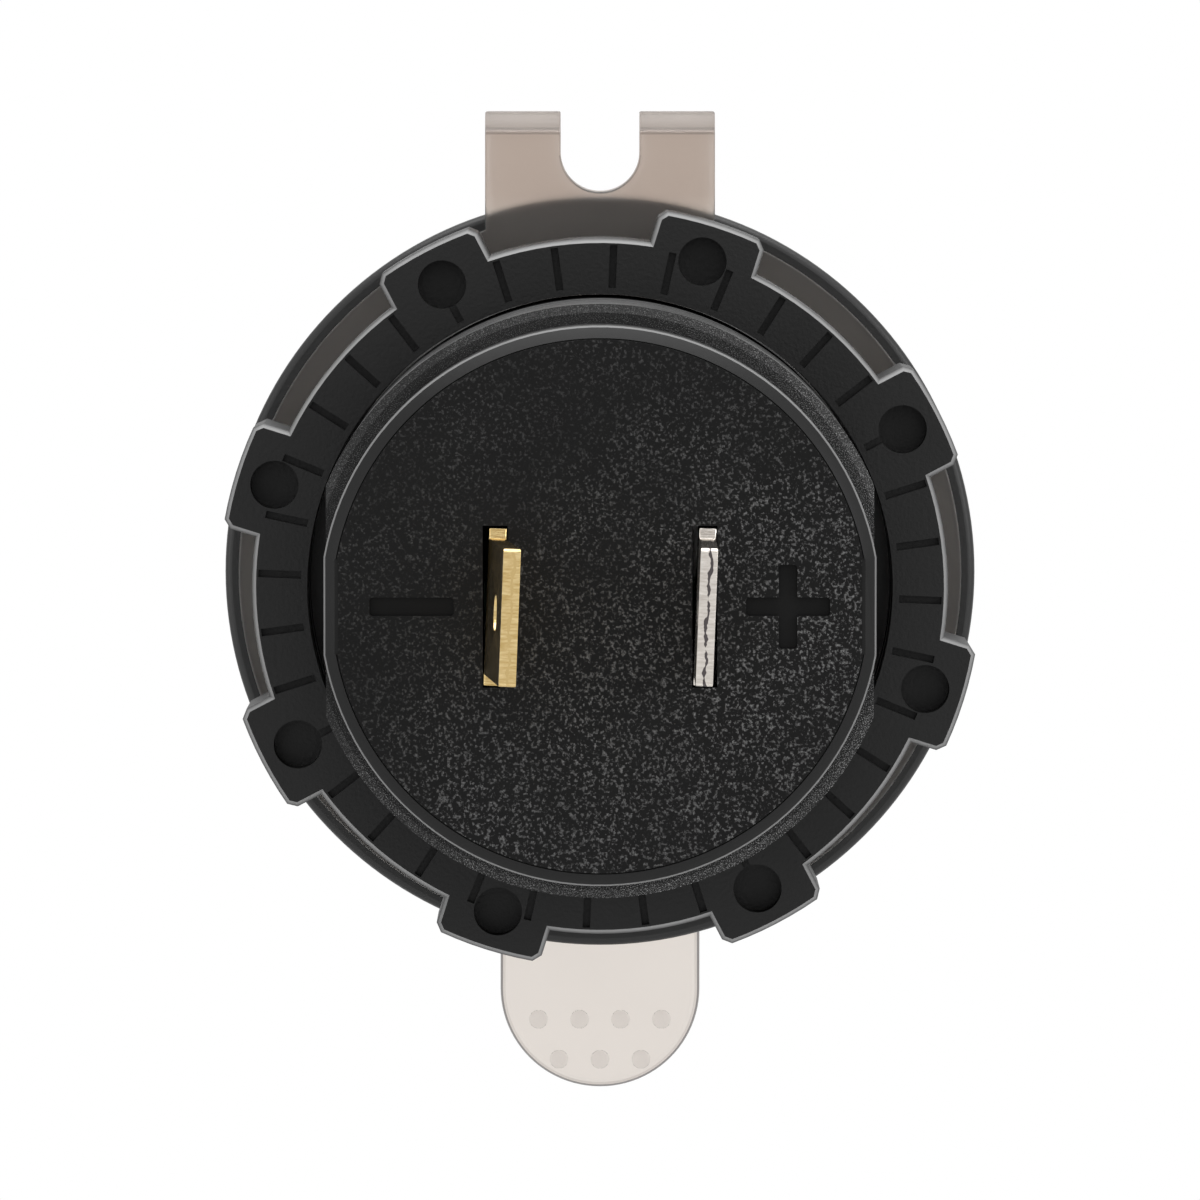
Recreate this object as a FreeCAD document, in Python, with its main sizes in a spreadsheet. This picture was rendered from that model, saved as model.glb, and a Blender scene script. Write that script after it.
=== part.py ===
import FreeCAD, Part
import math
import os
from types import SimpleNamespace

import Sketcher

# Panel-mounted charging socket: flanged barrel, ring nut, hinged dust cap, blade terminals and two ports.
# Millimetres and degrees. The barrel's axis is Y: terminals point along +Y, ports face -Y, the hinge is up.
# The origin is on the axis, in the plane where the panel's front face meets the ring behind the flange.
SIZES = {
    # barrel and flange, one moulding
    "barrel_radius": 13.9,
    "barrel_length": 26.5,
    "barrel_bevel_width": 0.4,
    "barrel_bevel_height": 0.2,
    "barrel_wall": 2.4,
    "flat_depth": 1.1,
    "thread_pitch": 2.7,
    "thread_depth": 0.6,
    "thread_opening": 1.5,
    "thread_start": 3.0,
    "thread_lead_in": 1.5,
    "flange_overhang": 4.6,
    "flange_thick": 3.0,
    "flange_front_bevel": 0.7,
    "flange_back_bevel": 0.35,
    "recess_inset": 1.6,
    "recess_depth": 2.2,
    "rail_height": 1.0,
    "rail_reach": 1.6,
    # plate round the ports
    "face_thick": 2.0,
    "face_clearance": 0.1,
    "window_clearance": 0.1,
    # cover behind the barrel
    "cover_inset": 0.9,
    "cover_height": 4.4,
    "cover_seam": 0.1,
    "cover_bevel_width": 0.6,
    "cover_bevel_height": 0.45,
    "spigot_length": 2.5,
    "spigot_wall": 1.3,
    "spigot_clearance": 0.15,
    # ring nut
    "panel_gap": 7.0,
    "nut_thick": 6.4,
    "nut_clearance": 0.15,
    "nut_wall": 2.65,
    "nut_lobe_rise": 1.6,
    "nut_lobe_width": 5.3,
    "nut_lobe_phase": 17.45,
    "nut_lobe_bevel": 0.35,
    "nut_edge_bevel": 0.2,
    "lobe_recess_inset": 1.94,
    "lobe_recess_radius": 1.16,
    "lobe_recess_depth": 1.4,
    "groove_width": 0.36,
    "groove_depth": 0.4,
    "groove_inner_margin": 0.3,
    "groove_outer_margin": 0.3,
    "groove_phase": 2.3,
    # dust cap moulding
    "ring_thick": 1.0,
    "ring_setback": 0.7,
    "ring_clearance": 0.2,
    "strap_width": 11.3,
    "strap_thick": 0.9,
    "strap_slot_width": 3.9,
    "strap_rise": 4.2,
    "slot_floor_rise": 0.25,
    "slot_floor_round": 1.3,
    "cap_thick": 1.4,
    "cap_setback": 0.5,
    "cap_clearance": 0.1,
    "cap_edge_bevel": 0.45,
    "plug_clearance": 0.3,
    "plug_depth": 1.5,
    "plug_wall": 1.2,
    "tab_width": 9.9,
    "tab_reach": 7.35,
    "grip_dot_radius": 0.46,
    "grip_dot_height": 0.25,
    "grip_dot_pitch": 2.04,
    "grip_row_pitch": 2.0,
    "grip_tip_margin": 1.4,
    # blade terminals
    "terminal_pitch": 9.7,
    "terminal_thick": 0.8,
    "blade_width": 6.3,
    "blade_length": 8.7,
    "blade_tip_bevel": 0.12,
    "blade_hole_radius": 0.9,
    "blade_hole_setback": 3.6,
    "shoulder_width": 7.3,
    "shoulder_rise": 0.3,
    "shoulder_depth": 3.6,
    "tail_width": 2.6,
    "tail_lap": 1.8,
    "negative_lean_angle": 5.0,
    "slot_side_clearance": 0.18,
    "slot_end_clearance": 0.1,
    # circuit board
    "board_thick": 1.6,
    "board_side_gap": 0.8,
    "board_end_gap": 3.0,
    "board_setback": 0.3,
    "board_clearance": 0.1,
    "notch_clearance": 0.1,
    # port sockets
    "shell_width": 13.2,
    "shell_height": 5.8,
    "shell_length": 14.0,
    "shell_sheet": 0.3,
    "shell_corner_round": 0.5,
    "shell_setback": 0.1,
    "tongue_width": 11.1,
    "tongue_thick": 1.84,
    "tongue_roof_gap": 0.72,
    "tongue_setback": 2.0,
    "tongue_base": 3.0,
    "contact_width": 1.0,
    "contact_thick": 0.2,
    "contact_inner_pitch": 2.0,
    "contact_outer_pitch": 7.0,
    "contact_setback": 0.9,
    # parts on the board
    "parts_gap": 1.0,
    "choke_side": 7.0,
    "choke_height": 4.2,
    "choke_bevel": 0.5,
    "choke_offset": 5.0,
    "capacitor_radius": 3.15,
    "capacitor_top_gap": 0.7,
    "capacitor_bevel": 0.5,
    "capacitor_offset": 4.8,
    "converter_width": 4.9,
    "converter_depth": 3.9,
    "converter_height": 1.5,
    "converter_offset": 5.6,
    "control_width": 2.9,
    "control_depth": 1.6,
    "control_height": 1.1,
    "chip_gap": 1.0,
    "diode_width": 2.6,
    "diode_depth": 4.3,
    "diode_height": 2.2,
    "diode_offset": 1.3,
    "light_width": 2.0,
    "light_depth": 1.3,
    "light_height": 0.9,
    "light_offset": 8.7,
    "light_gap": 0.1,
    "guide_radius": 1.0,
    "guide_clearance": 0.05,
    "guide_board_gap": 0.1,
}
LOBE_COUNT = 8
GROOVE_COUNT = 36

document = FreeCAD.newDocument("charging_socket")
sheet = document.addObject("Spreadsheet::Sheet", "Sizes")
for row, (alias, number) in enumerate(SIZES.items(), start=1):
    sheet.set(f"A{row}", alias)
    sheet.set(f"B{row}", str(number))
    sheet.setAlias(f"B{row}", alias)
document.recompute()


class Size:
    """A number together with the spreadsheet expression that gives it."""

    def __init__(self, value, text):
        self.value = value
        self.text = text

    def __add__(self, other):
        other = as_size(other)
        return Size(self.value + other.value, f"({self.text} + {other.text})")

    def __sub__(self, other):
        other = as_size(other)
        return Size(self.value - other.value, f"({self.text} - {other.text})")

    def __mul__(self, other):
        other = as_size(other)
        return Size(self.value * other.value, f"({self.text} * {other.text})")

    def __truediv__(self, other):
        other = as_size(other)
        return Size(self.value / other.value, f"({self.text} / {other.text})")

    def __neg__(self):
        return self * -1


def as_size(number):
    return number if isinstance(number, Size) else Size(float(number), f"({number})")


def tangent(angle):
    return Size(math.tan(math.radians(angle.value)), f"tan({angle.text} * 1 deg)")


def half_chord(radius, offset):
    """Half the width of a circle at a distance from its centre."""
    value = math.sqrt(radius.value ** 2 - offset.value ** 2)
    return Size(value, f"sqrt({radius.text}^2 - {offset.text}^2)")


size = SimpleNamespace(**{alias: Size(float(sheet.get(alias)), f"Sizes.{alias}") for alias in SIZES})
ZERO = as_size(0)

# Planes across the axis, from the front to the back.
flange_back = -size.ring_thick
flange_front = flange_back - size.flange_thick
face_front = flange_front + size.recess_depth
face_back = face_front + size.face_thick
cap_back = flange_front - size.cap_clearance
cap_front = cap_back - size.cap_thick
nut_front = size.panel_gap
nut_back = nut_front + size.nut_thick
cover_front = size.barrel_length + size.cover_seam
cover_back = cover_front + size.cover_height
shell_front = face_front + size.shell_setback
shell_back = shell_front + size.shell_length
board_front = face_back + size.board_setback
board_back = size.barrel_length - size.board_end_gap
parts_front = shell_back + size.parts_gap

# Radii and heights that several pieces share.
bore_radius = size.barrel_radius - size.barrel_wall
flat_offset = size.barrel_radius - size.flat_depth
flange_radius = size.barrel_radius + size.flange_overhang
recess_radius = size.barrel_radius - size.recess_inset
cover_radius = size.barrel_radius - size.cover_inset
nut_bore = size.barrel_radius + size.nut_clearance
nut_ring_radius = nut_bore + size.nut_wall
nut_lobe_radius = nut_ring_radius + size.nut_lobe_rise
ring_radius = flange_radius - size.ring_setback
cap_radius = flange_radius - size.cap_setback
half_board = bore_radius - size.board_side_gap
board_top = size.board_thick / 2
half_strap = size.strap_width / 2
half_slot = size.strap_slot_width / 2
slot_floor = flange_radius + size.slot_floor_rise

# The hinge fold is a half circle between the middle planes of the ring and of the cap.
strap_back = -(size.ring_thick - size.strap_thick) / 2
strap_front = cap_front + (size.cap_thick - size.strap_thick) / 2
fold_radius = (strap_back - strap_front - size.strap_thick) / 2
fold_y = (strap_back + strap_front) / 2
fold_z = flange_radius + size.strap_rise - size.strap_thick / 2 - fold_radius


def new_body(label):
    body = document.addObject("PartDesign::Body", label)
    body.Label = label
    return body


def origin_feature(body, role):
    return next(item for item in body.Origin.OriginFeatures if item.Role == role)


def new_sketch(body, name, role, offset=ZERO, turn=ZERO):
    """A sketch on a plane of the body's origin, moved along the plane's normal and turned in it."""
    sketch = body.newObject("Sketcher::SketchObject", name)
    sketch.AttachmentSupport = [(origin_feature(body, role), "")]
    sketch.MapMode = "FlatFace"
    sketch.AttachmentOffset = FreeCAD.Placement(
        FreeCAD.Vector(0, 0, offset.value), FreeCAD.Rotation(FreeCAD.Vector(0, 0, 1), turn.value)
    )
    sketch.setExpression("AttachmentOffset.Base.z", offset.text)
    sketch.setExpression("AttachmentOffset.Rotation.Angle", turn.text)
    return sketch


def across_axis(body, name, y, turn=ZERO):
    """A sketch with X and Z as its axes, at a place along the barrel's axis. Its normal is -Y."""
    return new_sketch(body, name, "XZ_Plane", -y, turn)


def bind(sketch, constraint, length):
    index = sketch.addConstraint(constraint)
    sketch.setExpression(f"Constraints[{index}]", length.text)


def pin_point(sketch, geometry, point, x, y):
    bind(sketch, Sketcher.Constraint("DistanceX", -1, 1, geometry, point, x.value), x)
    bind(sketch, Sketcher.Constraint("DistanceY", -1, 1, geometry, point, y.value), y)


def add_outline(sketch, points):
    """A closed outline of straight lines with both coordinates of each corner bound."""
    first = sketch.GeometryCount
    corners = [FreeCAD.Vector(x.value, y.value, 0) for x, y in points]
    for start, end in zip(corners, corners[1:] + corners[:1]):
        sketch.addGeometry(Part.LineSegment(start, end), False)
    for index, (x, y) in enumerate(points):
        before = first + (index - 1) % len(points)
        sketch.addConstraint(Sketcher.Constraint("Coincident", before, 2, first + index, 1))
        pin_point(sketch, first + index, 1, x, y)


def add_rectangle(sketch, low, high):
    add_outline(sketch, [low, (high[0], low[1]), high, (low[0], high[1])])


def add_circle(sketch, centre, radius):
    middle = FreeCAD.Vector(centre[0].value, centre[1].value, 0)
    circle = Part.Circle(middle, FreeCAD.Vector(0, 0, 1), radius.value)
    geometry = sketch.addGeometry(circle, False)
    pin_point(sketch, geometry, 3, *centre)
    bind(sketch, Sketcher.Constraint("Radius", geometry, radius.value), radius)


def extrude(body, kind, name, sketch, length, backwards):
    """A pad or pocket. Backwards takes a pad against its sketch's normal and a pocket along it."""
    feature = body.newObject(f"PartDesign::{kind}", name)
    feature.Profile = sketch
    feature.Length = length.value
    feature.setExpression("Length", length.text)
    feature.Reversed = backwards
    sketch.Visibility = False
    body.Tip = feature
    document.recompute()
    return feature


def pad(body, name, sketch, length, backwards=False):
    return extrude(body, "Pad", name, sketch, length, backwards)


def pocket(body, name, sketch, length, backwards=False):
    volume = body.Shape.Volume
    feature = extrude(body, "Pocket", name, sketch, length, backwards)
    if not body.Shape.Volume < volume:
        raise RuntimeError(f"{name} cuts nothing")
    return feature


def revolve(body, name, sketch, axis="V_Axis", angle=360):
    feature = body.newObject("PartDesign::Revolution", name)
    feature.Profile = sketch
    feature.ReferenceAxis = (sketch, [axis])
    feature.Angle = angle
    body.Tip = feature
    document.recompute()
    return feature


def turned_body(label, points):
    """A body turned about the barrel's axis, from (radius, place along the axis) points."""
    body = new_body(label)
    profile = new_sketch(body, f"{label}_profile", "XY_Plane")
    add_outline(profile, points)
    revolve(body, f"{label}_turned", profile)
    return body


def round_pattern(body, name, feature, copies):
    pattern = body.newObject("PartDesign::PolarPattern", name)
    pattern.Originals = [feature]
    pattern.Axis = (origin_feature(body, "Y_Axis"), [""])
    pattern.Angle = 360
    pattern.Occurrences = copies
    body.Tip = pattern
    document.recompute()
    return pattern


def dress(body, kind, name, amount, test):
    """A fillet or chamfer on the edges of the body that pass the test."""
    base = body.Tip
    edges = [f"Edge{number}" for number, edge in enumerate(base.Shape.Edges, start=1) if test(edge)]
    feature = body.newObject(f"PartDesign::{kind}", name)
    feature.Base = (base, edges)
    feature.setExpression("Radius" if kind == "Fillet" else "Size", amount.text)
    body.Tip = feature
    document.recompute()
    return feature


def in_plane(edge, axis, place):
    """Whether the edge lies in the plane at that place along x, y or z."""
    low = getattr(edge.BoundBox, f"{axis}Min")
    high = getattr(edge.BoundBox, f"{axis}Max")
    return abs(low - place.value) < 1e-4 and abs(high - place.value) < 1e-4


def along(edge, axis):
    """Whether the edge is a straight line along x, y or z."""
    spans = {"x": edge.BoundBox.XLength, "y": edge.BoundBox.YLength, "z": edge.BoundBox.ZLength}
    length = spans.pop(axis.lower())
    return length > 1e-4 and max(spans.values()) < 1e-4


def axis_distance(edge):
    """How far the edge's middle point is from the barrel's axis."""
    point = edge.valueAt((edge.FirstParameter + edge.LastParameter) / 2)
    return math.hypot(point.x, point.z)


def make_housing():
    """Flange and barrel in one, with a recess for the face plate and rails for the board."""
    body = turned_body("housing", [
        (bore_radius, face_back),
        (bore_radius, size.barrel_length),
        (size.barrel_radius - size.barrel_bevel_width, size.barrel_length),
        (size.barrel_radius, size.barrel_length - size.barrel_bevel_height),
        (size.barrel_radius, flange_back),
        (flange_radius, flange_back),
        (flange_radius, flange_front),
        (recess_radius, flange_front),
        (recess_radius, face_back),
    ])
    dress(body, "Chamfer", "flange_front_bevel", size.flange_front_bevel,
          lambda edge: in_plane(edge, "Y", flange_front) and axis_distance(edge) > recess_radius.value + 0.1)
    dress(body, "Chamfer", "flange_back_bevel", size.flange_back_bevel,
          lambda edge: in_plane(edge, "Y", flange_back) and axis_distance(edge) > size.barrel_radius.value + 0.1)
    flats = across_axis(body, "flats", flange_back)
    for side in (1, -1):
        edge = flat_offset * side
        beyond = flange_radius * side
        add_rectangle(flats, (edge, -flange_radius), (beyond, flange_radius))
    pocket(body, "flats_cut", flats, size.barrel_length - flange_back)
    cut_thread(body, "upper_thread", size.thread_start, False)
    cut_thread(body, "lower_thread", size.thread_start + size.thread_pitch / 2, True)
    rails = across_axis(body, "board_rails", parts_front)
    rail_inner = half_board - size.rail_reach / 2
    rail_outer = (bore_radius + flat_offset) / 2
    rail_low = board_top + size.board_clearance
    for side in (1, -1):
        for level in (1, -1):
            add_rectangle(rails, (rail_inner * side, rail_low * level),
                          (rail_outer * side, (rail_low + size.rail_height) * level))
    pad(body, "board_rails_pad", rails, board_back - parts_front, backwards=True)
    return body


def cut_thread(body, name, start, below):
    """V grooves over half of the barrel. The halves lie half a pitch apart, and the flats part them."""
    length = size.barrel_length - size.thread_start - size.thread_lead_in
    turns = math.floor(length.value / size.thread_pitch.value)
    rim = size.barrel_radius + size.thread_depth
    grooves = new_sketch(body, name, "XY_Plane")
    for turn in range(turns):
        middle = start + size.thread_pitch * turn
        add_outline(grooves, [
            (size.barrel_radius - size.thread_depth, middle),
            (rim, middle - size.thread_opening),
            (rim, middle + size.thread_opening),
        ])
    volume = body.Shape.Volume
    feature = body.newObject("PartDesign::Groove", f"{name}_cut")
    feature.Profile = grooves
    feature.ReferenceAxis = (grooves, ["V_Axis"])
    feature.Angle = 180
    feature.Reversed = below
    body.Tip = feature
    document.recompute()
    if not body.Shape.Volume < volume:
        raise RuntimeError(f"{name} cuts nothing")


def make_face_plate():
    """Disc in the flange's recess, with two port windows and a hole for the light guide."""
    body = new_body("face_plate")
    disc = across_axis(body, "face_disc", face_front)
    add_circle(disc, (ZERO, ZERO), recess_radius - size.face_clearance)
    pad(body, "face_disc_pad", disc, size.face_thick, backwards=True)
    windows = across_axis(body, "port_windows", face_front)
    half_width = size.shell_width / 2 + size.window_clearance
    low = board_top - size.window_clearance
    high = board_top + size.shell_height + size.window_clearance
    for level in (1, -1):
        add_rectangle(windows, (-half_width, low * level), (half_width, high * level))
    add_circle(windows, (size.light_offset, guide_z), size.guide_radius + size.guide_clearance)
    pocket(body, "port_windows_cut", windows, size.face_thick)
    return body


def make_rear_cover():
    """Cover over the barrel's end: bevelled rim, flats in line with the barrel's, two terminal slots."""
    spigot_radius = bore_radius - size.spigot_clearance
    body = turned_body("rear_cover", [
        (ZERO, cover_front),
        (spigot_radius - size.spigot_wall, cover_front),
        (spigot_radius - size.spigot_wall, cover_front - size.spigot_length),
        (spigot_radius, cover_front - size.spigot_length),
        (spigot_radius, cover_front),
        (cover_radius, cover_front),
        (cover_radius, cover_back - size.cover_bevel_height),
        (cover_radius - size.cover_bevel_width, cover_back),
        (ZERO, cover_back),
    ])
    flats = across_axis(body, "cover_flats", cover_front)
    for side in (1, -1):
        edge = flat_offset * side
        add_rectangle(flats, (edge, -cover_radius), (flange_radius * side, cover_radius))
    pocket(body, "cover_flats_cut", flats, size.cover_height)
    slots = across_axis(body, "terminal_slots", cover_front)
    half_thick = size.terminal_thick / 2 + size.slot_side_clearance
    half_width = size.shoulder_width / 2 + size.slot_end_clearance
    for side in (1, -1):
        middle = size.terminal_pitch / 2 * side
        add_rectangle(slots, (middle - half_thick, -half_width), (middle + half_thick, half_width))
    pocket(body, "terminal_slots_cut", slots, size.cover_height)
    return body


def make_ring_nut():
    """Ring with eight lobes: a blind recess in each, and short radial grooves all round the back."""
    body = new_body("ring_nut")
    ring = across_axis(body, "nut_ring", nut_front)
    add_circle(ring, (ZERO, ZERO), nut_ring_radius)
    add_circle(ring, (ZERO, ZERO), nut_bore)
    pad(body, "nut_ring_pad", ring, size.nut_thick, backwards=True)
    lobe = across_axis(body, "nut_lobe", nut_front, size.nut_lobe_phase)
    add_lobe(lobe)
    first = pad(body, "nut_lobe_pad", lobe, size.nut_thick, backwards=True)
    round_pattern(body, "nut_lobes", first, LOBE_COUNT)
    corner = nut_lobe_radius.value - size.nut_lobe_bevel.value
    dress(body, "Chamfer", "nut_lobe_bevel", size.nut_lobe_bevel,
          lambda edge: along(edge, "y") and axis_distance(edge) > corner)
    outside = (nut_bore.value + nut_ring_radius.value) / 2
    dress(body, "Chamfer", "nut_edge_bevel", size.nut_edge_bevel,
          lambda edge: in_plane(edge, "Y", nut_back) and axis_distance(edge) > outside)
    groove = across_axis(body, "nut_groove", nut_back, size.groove_phase)
    add_rectangle(groove, (-size.groove_width / 2, nut_bore + size.groove_inner_margin),
                  (size.groove_width / 2, nut_ring_radius - size.groove_outer_margin))
    first = pocket(body, "nut_groove_cut", groove, size.groove_depth, backwards=True)
    round_pattern(body, "nut_grooves", first, GROOVE_COUNT)
    recess = across_axis(body, "lobe_recess", nut_back, size.nut_lobe_phase)
    add_circle(recess, (ZERO, nut_lobe_radius - size.lobe_recess_inset), size.lobe_recess_radius)
    first = pocket(body, "lobe_recess_cut", recess, size.lobe_recess_depth, backwards=True)
    round_pattern(body, "lobe_recesses", first, LOBE_COUNT)
    return body


def add_lobe(sketch):
    """Outline of one lobe: two parallel sides, an arc about the axis and a line inside the ring."""
    half = size.nut_lobe_width / 2
    root = (nut_bore + nut_ring_radius) / 2
    tip = half_chord(nut_lobe_radius, half)
    corners = [FreeCAD.Vector(side * half.value, level.value, 0)
               for side, level in ((-1, tip), (-1, root), (1, root), (1, tip))]
    for start, end in zip(corners, corners[1:]):
        sketch.addGeometry(Part.LineSegment(start, end), False)
    circle = Part.Circle(FreeCAD.Vector(), FreeCAD.Vector(0, 0, 1), nut_lobe_radius.value)
    swing = math.atan2(half.value, tip.value)
    arc = sketch.addGeometry(Part.ArcOfCircle(circle, math.pi / 2 - swing, math.pi / 2 + swing), False)
    sketch.addConstraint(Sketcher.Constraint("Coincident", arc, 3, -1, 1))
    bind(sketch, Sketcher.Constraint("Radius", arc, nut_lobe_radius.value), nut_lobe_radius)
    sketch.addConstraint(Sketcher.Constraint("Coincident", 0, 1, arc, 2))
    sketch.addConstraint(Sketcher.Constraint("Coincident", 2, 2, arc, 1))
    sketch.addConstraint(Sketcher.Constraint("Coincident", 0, 2, 1, 1))
    sketch.addConstraint(Sketcher.Constraint("Coincident", 1, 2, 2, 1))
    sketch.addConstraint(Sketcher.Constraint("Vertical", 0))
    sketch.addConstraint(Sketcher.Constraint("Vertical", 2))
    pin_point(sketch, 1, 1, -half, root)
    pin_point(sketch, 1, 2, half, root)


def make_cap_ring():
    """Flat ring of the dust cap, held between flange and panel, with the back half of the strap."""
    body = new_body("cap_ring")
    ring = across_axis(body, "cap_ring_outline", flange_back)
    add_circle(ring, (ZERO, ZERO), ring_radius)
    add_circle(ring, (ZERO, ZERO), size.barrel_radius + size.ring_clearance)
    pad(body, "cap_ring_pad", ring, size.ring_thick, backwards=True)
    add_strap_leaf(body, "back_leaf", strap_back - size.strap_thick, ring_radius)
    return body


def add_strap_leaf(body, name, y, edge_radius):
    """Flat end of the strap, from inside the round piece that it grows from up to the fold."""
    leaf = across_axis(body, name, y)
    root = half_chord(edge_radius, half_strap) - size.strap_thick
    add_rectangle(leaf, (-half_strap, root), (half_strap, fold_z))
    pad(body, f"{name}_pad", leaf, size.strap_thick, backwards=True)
    slot = across_axis(body, f"{name}_slot", y)
    add_rectangle(slot, (-half_slot, slot_floor), (half_slot, fold_z + size.strap_thick))
    pocket(body, f"{name}_slot_cut", slot, size.strap_thick)
    dress(body, "Fillet", f"{name}_slot_round", size.slot_floor_round,
          lambda edge: along(edge, "y") and in_plane(edge, "Z", slot_floor))


def make_hinge_strap():
    """The two prongs of the strap where they fold over the flange's edge."""
    body = new_body("hinge_strap")
    body.AllowCompound = True
    section = new_sketch(body, "prong_sections", "XY_Plane")
    section.setExpression("AttachmentOffset.Base.y", fold_y.text)
    section.setExpression("AttachmentOffset.Base.z", fold_z.text)
    inner = fold_radius - size.strap_thick / 2
    outer = fold_radius + size.strap_thick / 2
    for side in (1, -1):
        add_rectangle(section, (half_slot * side, inner), (half_strap * side, outer))
    revolve(body, "prongs", section, "H_Axis", 180)
    return body


def make_dust_cap():
    """Soft cap over the flange, with a plug ring in its recess, the strap's front half and a pull tab."""
    plug_radius = recess_radius - size.plug_clearance
    body = turned_body("dust_cap", [
        (ZERO, cap_front),
        (cap_radius, cap_front),
        (cap_radius, cap_back),
        (plug_radius, cap_back),
        (plug_radius, cap_back + size.plug_depth),
        (plug_radius - size.plug_wall, cap_back + size.plug_depth),
        (plug_radius - size.plug_wall, cap_back),
        (ZERO, cap_back),
    ])
    tab = across_axis(body, "tab_root", cap_front)
    half_tab = size.tab_width / 2
    tab_centre = -(flange_radius + size.tab_reach - half_tab)
    add_rectangle(tab, (-half_tab, tab_centre), (half_tab, -cap_radius / 2))
    pad(body, "tab_root_pad", tab, size.cap_thick, backwards=True)
    end = across_axis(body, "tab_end", cap_front)
    add_circle(end, (ZERO, tab_centre), half_tab)
    pad(body, "tab_end_pad", end, size.cap_thick, backwards=True)
    dress(body, "Chamfer", "cap_edge_bevel", size.cap_edge_bevel,
          lambda edge: in_plane(edge, "Y", cap_front))
    add_strap_leaf(body, "front_leaf", strap_front, cap_radius)
    add_grip_dots(body)
    return body


def add_grip_dots(body):
    """Seven low dots on the back of the tab: four in a row, and three staggered nearer the tip."""
    dots = across_axis(body, "grip_dots", cap_back)
    tip_row = -(flange_radius + size.tab_reach - size.grip_tip_margin)
    for column in (-1, 0, 1):
        add_circle(dots, (size.grip_dot_pitch * column, tip_row), size.grip_dot_radius)
    for column in (-1.5, -0.5, 0.5, 1.5):
        add_circle(dots, (size.grip_dot_pitch * column, tip_row + size.grip_row_pitch), size.grip_dot_radius)
    pad(body, "grip_dots_pad", dots, size.grip_dot_height, backwards=True)


def make_terminal(label, side, lean):
    """Upright blade terminal: tail to the board, shoulder in the cover's slot, blade with a hole."""
    body = new_body(label)
    shoulder_back = cover_back + size.shoulder_rise
    shoulder_front = shoulder_back - size.shoulder_depth
    tail_front = board_back - size.tail_lap
    tip = shoulder_back + size.blade_length
    middle = size.terminal_pitch / 2 * side
    half_thick = size.terminal_thick / 2
    shift = size.blade_length * tangent(lean) * -side
    half_shoulder = size.shoulder_width / 2
    strip = new_sketch(body, f"{label}_strip", "XY_Plane", -half_shoulder)
    add_outline(strip, [
        (middle - half_thick, tail_front),
        (middle + half_thick, tail_front),
        (middle + half_thick, shoulder_back),
        (middle + half_thick + shift, tip),
        (middle - half_thick + shift, tip),
        (middle - half_thick, shoulder_back),
    ])
    pad(body, f"{label}_strip_pad", strip, size.shoulder_width)
    half_blade = size.blade_width / 2
    half_tail = size.tail_width / 2
    bevelled = tip - size.blade_tip_bevel
    waste = new_sketch(body, f"{label}_waste", "YZ_Plane", -size.barrel_radius)
    for level in (1, -1):
        add_rectangle(waste, (tail_front - half_tail, half_tail * level),
                      (shoulder_front, (half_shoulder + half_tail) * level))
        add_outline(waste, [
            (shoulder_back, half_blade * level),
            (bevelled, half_blade * level),
            (tip, (half_blade - size.blade_tip_bevel) * level),
            (tip + half_blade, (half_blade - size.blade_tip_bevel) * level),
            (tip + half_blade, (half_shoulder + half_blade) * level),
            (shoulder_back, (half_shoulder + half_blade) * level),
        ])
    add_circle(waste, (tip - size.blade_hole_setback, ZERO), size.blade_hole_radius)
    pocket(body, f"{label}_waste_cut", waste, size.barrel_radius * 2, backwards=True)
    return body


def make_circuit_board():
    """Board on the barrel's middle plane, notched at the back for the terminals' tails."""
    body = new_body("circuit_board")
    outline = new_sketch(body, "board_outline", "XY_Plane", -board_top)
    add_rectangle(outline, (-half_board, board_front), (half_board, board_back))
    pad(body, "board_pad", outline, size.board_thick)
    notches = new_sketch(body, "terminal_notches", "XY_Plane", board_top)
    half_notch = size.terminal_thick / 2 + size.notch_clearance
    for side in (1, -1):
        middle = size.terminal_pitch / 2 * side
        add_rectangle(notches, (middle - half_notch, board_back - size.tail_lap - size.notch_clearance),
                      (middle + half_notch, board_back + half_notch))
    pocket(body, "terminal_notches_cut", notches, size.board_thick)
    return body


def face_of_board(body, level):
    """Parts of the board's lower side are turned half round the barrel's axis."""
    if level < 0:
        body.Placement = FreeCAD.Placement(FreeCAD.Vector(), FreeCAD.Rotation(FreeCAD.Vector(0, 1, 0), 180))
    return body


def make_shell(label, level):
    """Steel shell of one port, open at the front and closed at the back."""
    body = new_body(label)
    half_width = size.shell_width / 2
    top = board_top + size.shell_height
    outline = across_axis(body, f"{label}_outline", shell_front)
    add_rectangle(outline, (-half_width, board_top), (half_width, top))
    pad(body, f"{label}_pad", outline, size.shell_length, backwards=True)
    dress(body, "Fillet", f"{label}_corners", size.shell_corner_round, lambda edge: along(edge, "y"))
    inside = across_axis(body, f"{label}_inside", shell_front)
    sheet_thick = size.shell_sheet
    add_rectangle(inside, (-half_width + sheet_thick, board_top + sheet_thick),
                  (half_width - sheet_thick, top - sheet_thick))
    pocket(body, f"{label}_inside_cut", inside, size.shell_length - sheet_thick)
    return face_of_board(body, level)


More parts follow.
